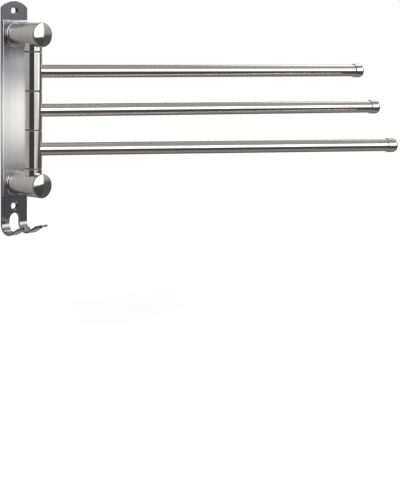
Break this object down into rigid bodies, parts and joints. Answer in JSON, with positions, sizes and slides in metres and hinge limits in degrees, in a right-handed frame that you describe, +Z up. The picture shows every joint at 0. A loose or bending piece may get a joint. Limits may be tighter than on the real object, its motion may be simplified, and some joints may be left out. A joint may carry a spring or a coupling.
{
  "type": "swing arm towel bar",
  "caption": "Polished steel wall plate with round posts and a vertical pivot rod, towel bars that swing out one above the other, and a forked hook below.",
  "frame": {"origin": "on the wall, in the middle between the two wall screws", "axes": "+Z up, +Y into the wall, so that the rail stands out towards -Y; the arms are stored turned towards +X"},
  "size_m": [0.3468, 0.226, 0.2119],
  "materials": {
    "plate_steel": "polished stainless sheet",
    "post_steel": "satin, turned",
    "ring_steel": "polished",
    "cap_steel": "mirror polished",
    "sleeve_steel": "polished, turned",
    "bar_steel": "polished tube",
    "rod_steel": "ground",
    "screw_steel": "zinc plated",
    "dark_nylon": "moulded"
  },
  "bodies": {
    "wall_bracket": {"back_plate": "plate_steel", "pivot_rod": "rod_steel", "upper_post": "post_steel", "upper_base_ring": "ring_steel", "upper_post_cap": "cap_steel", "upper_post_screw": "screw_steel", "upper_collar": "sleeve_steel", "lower_post": "post_steel", "lower_base_ring": "ring_steel", "lower_post_cap": "cap_steel", "lower_post_screw": "screw_steel", "lower_collar": "sleeve_steel", "thrust_washer_1": "dark_nylon", "thrust_washer_2": "dark_nylon", "thrust_washer_3": "dark_nylon", "thrust_washer_4": "dark_nylon"},
    "upper_arm": {"upper_hub": "sleeve_steel", "upper_hub_top_bush": "dark_nylon", "upper_hub_bottom_bush": "dark_nylon", "upper_bar": "bar_steel", "upper_bar_root_plug": "rod_steel", "upper_bar_cap": "cap_steel"},
    "middle_arm": {"middle_hub": "sleeve_steel", "middle_hub_top_bush": "dark_nylon", "middle_hub_bottom_bush": "dark_nylon", "middle_bar": "bar_steel", "middle_bar_root_plug": "rod_steel", "middle_bar_cap": "cap_steel"},
    "lower_arm": {"lower_hub": "sleeve_steel", "lower_hub_top_bush": "dark_nylon", "lower_hub_bottom_bush": "dark_nylon", "lower_bar": "bar_steel", "lower_bar_root_plug": "rod_steel", "lower_bar_cap": "cap_steel"}
  },
  "joints": [
    {"name": "upper_arm_swing", "type": "hinge", "parent": "wall_bracket", "child": "upper_arm", "pos_m": [0, -0.0275, 0.035], "axis": [0, 0, 1], "range_deg": [-158.6, 21.4]},
    {"name": "middle_arm_swing", "type": "hinge", "parent": "wall_bracket", "child": "middle_arm", "pos_m": [0, -0.0275, 0], "axis": [0, 0, 1], "range_deg": [-153.3, 26.7]},
    {"name": "lower_arm_swing", "type": "hinge", "parent": "wall_bracket", "child": "lower_arm", "pos_m": [0, -0.0275, -0.035], "axis": [0, 0, 1], "range_deg": [-146.8, 33.2]}
  ]
}
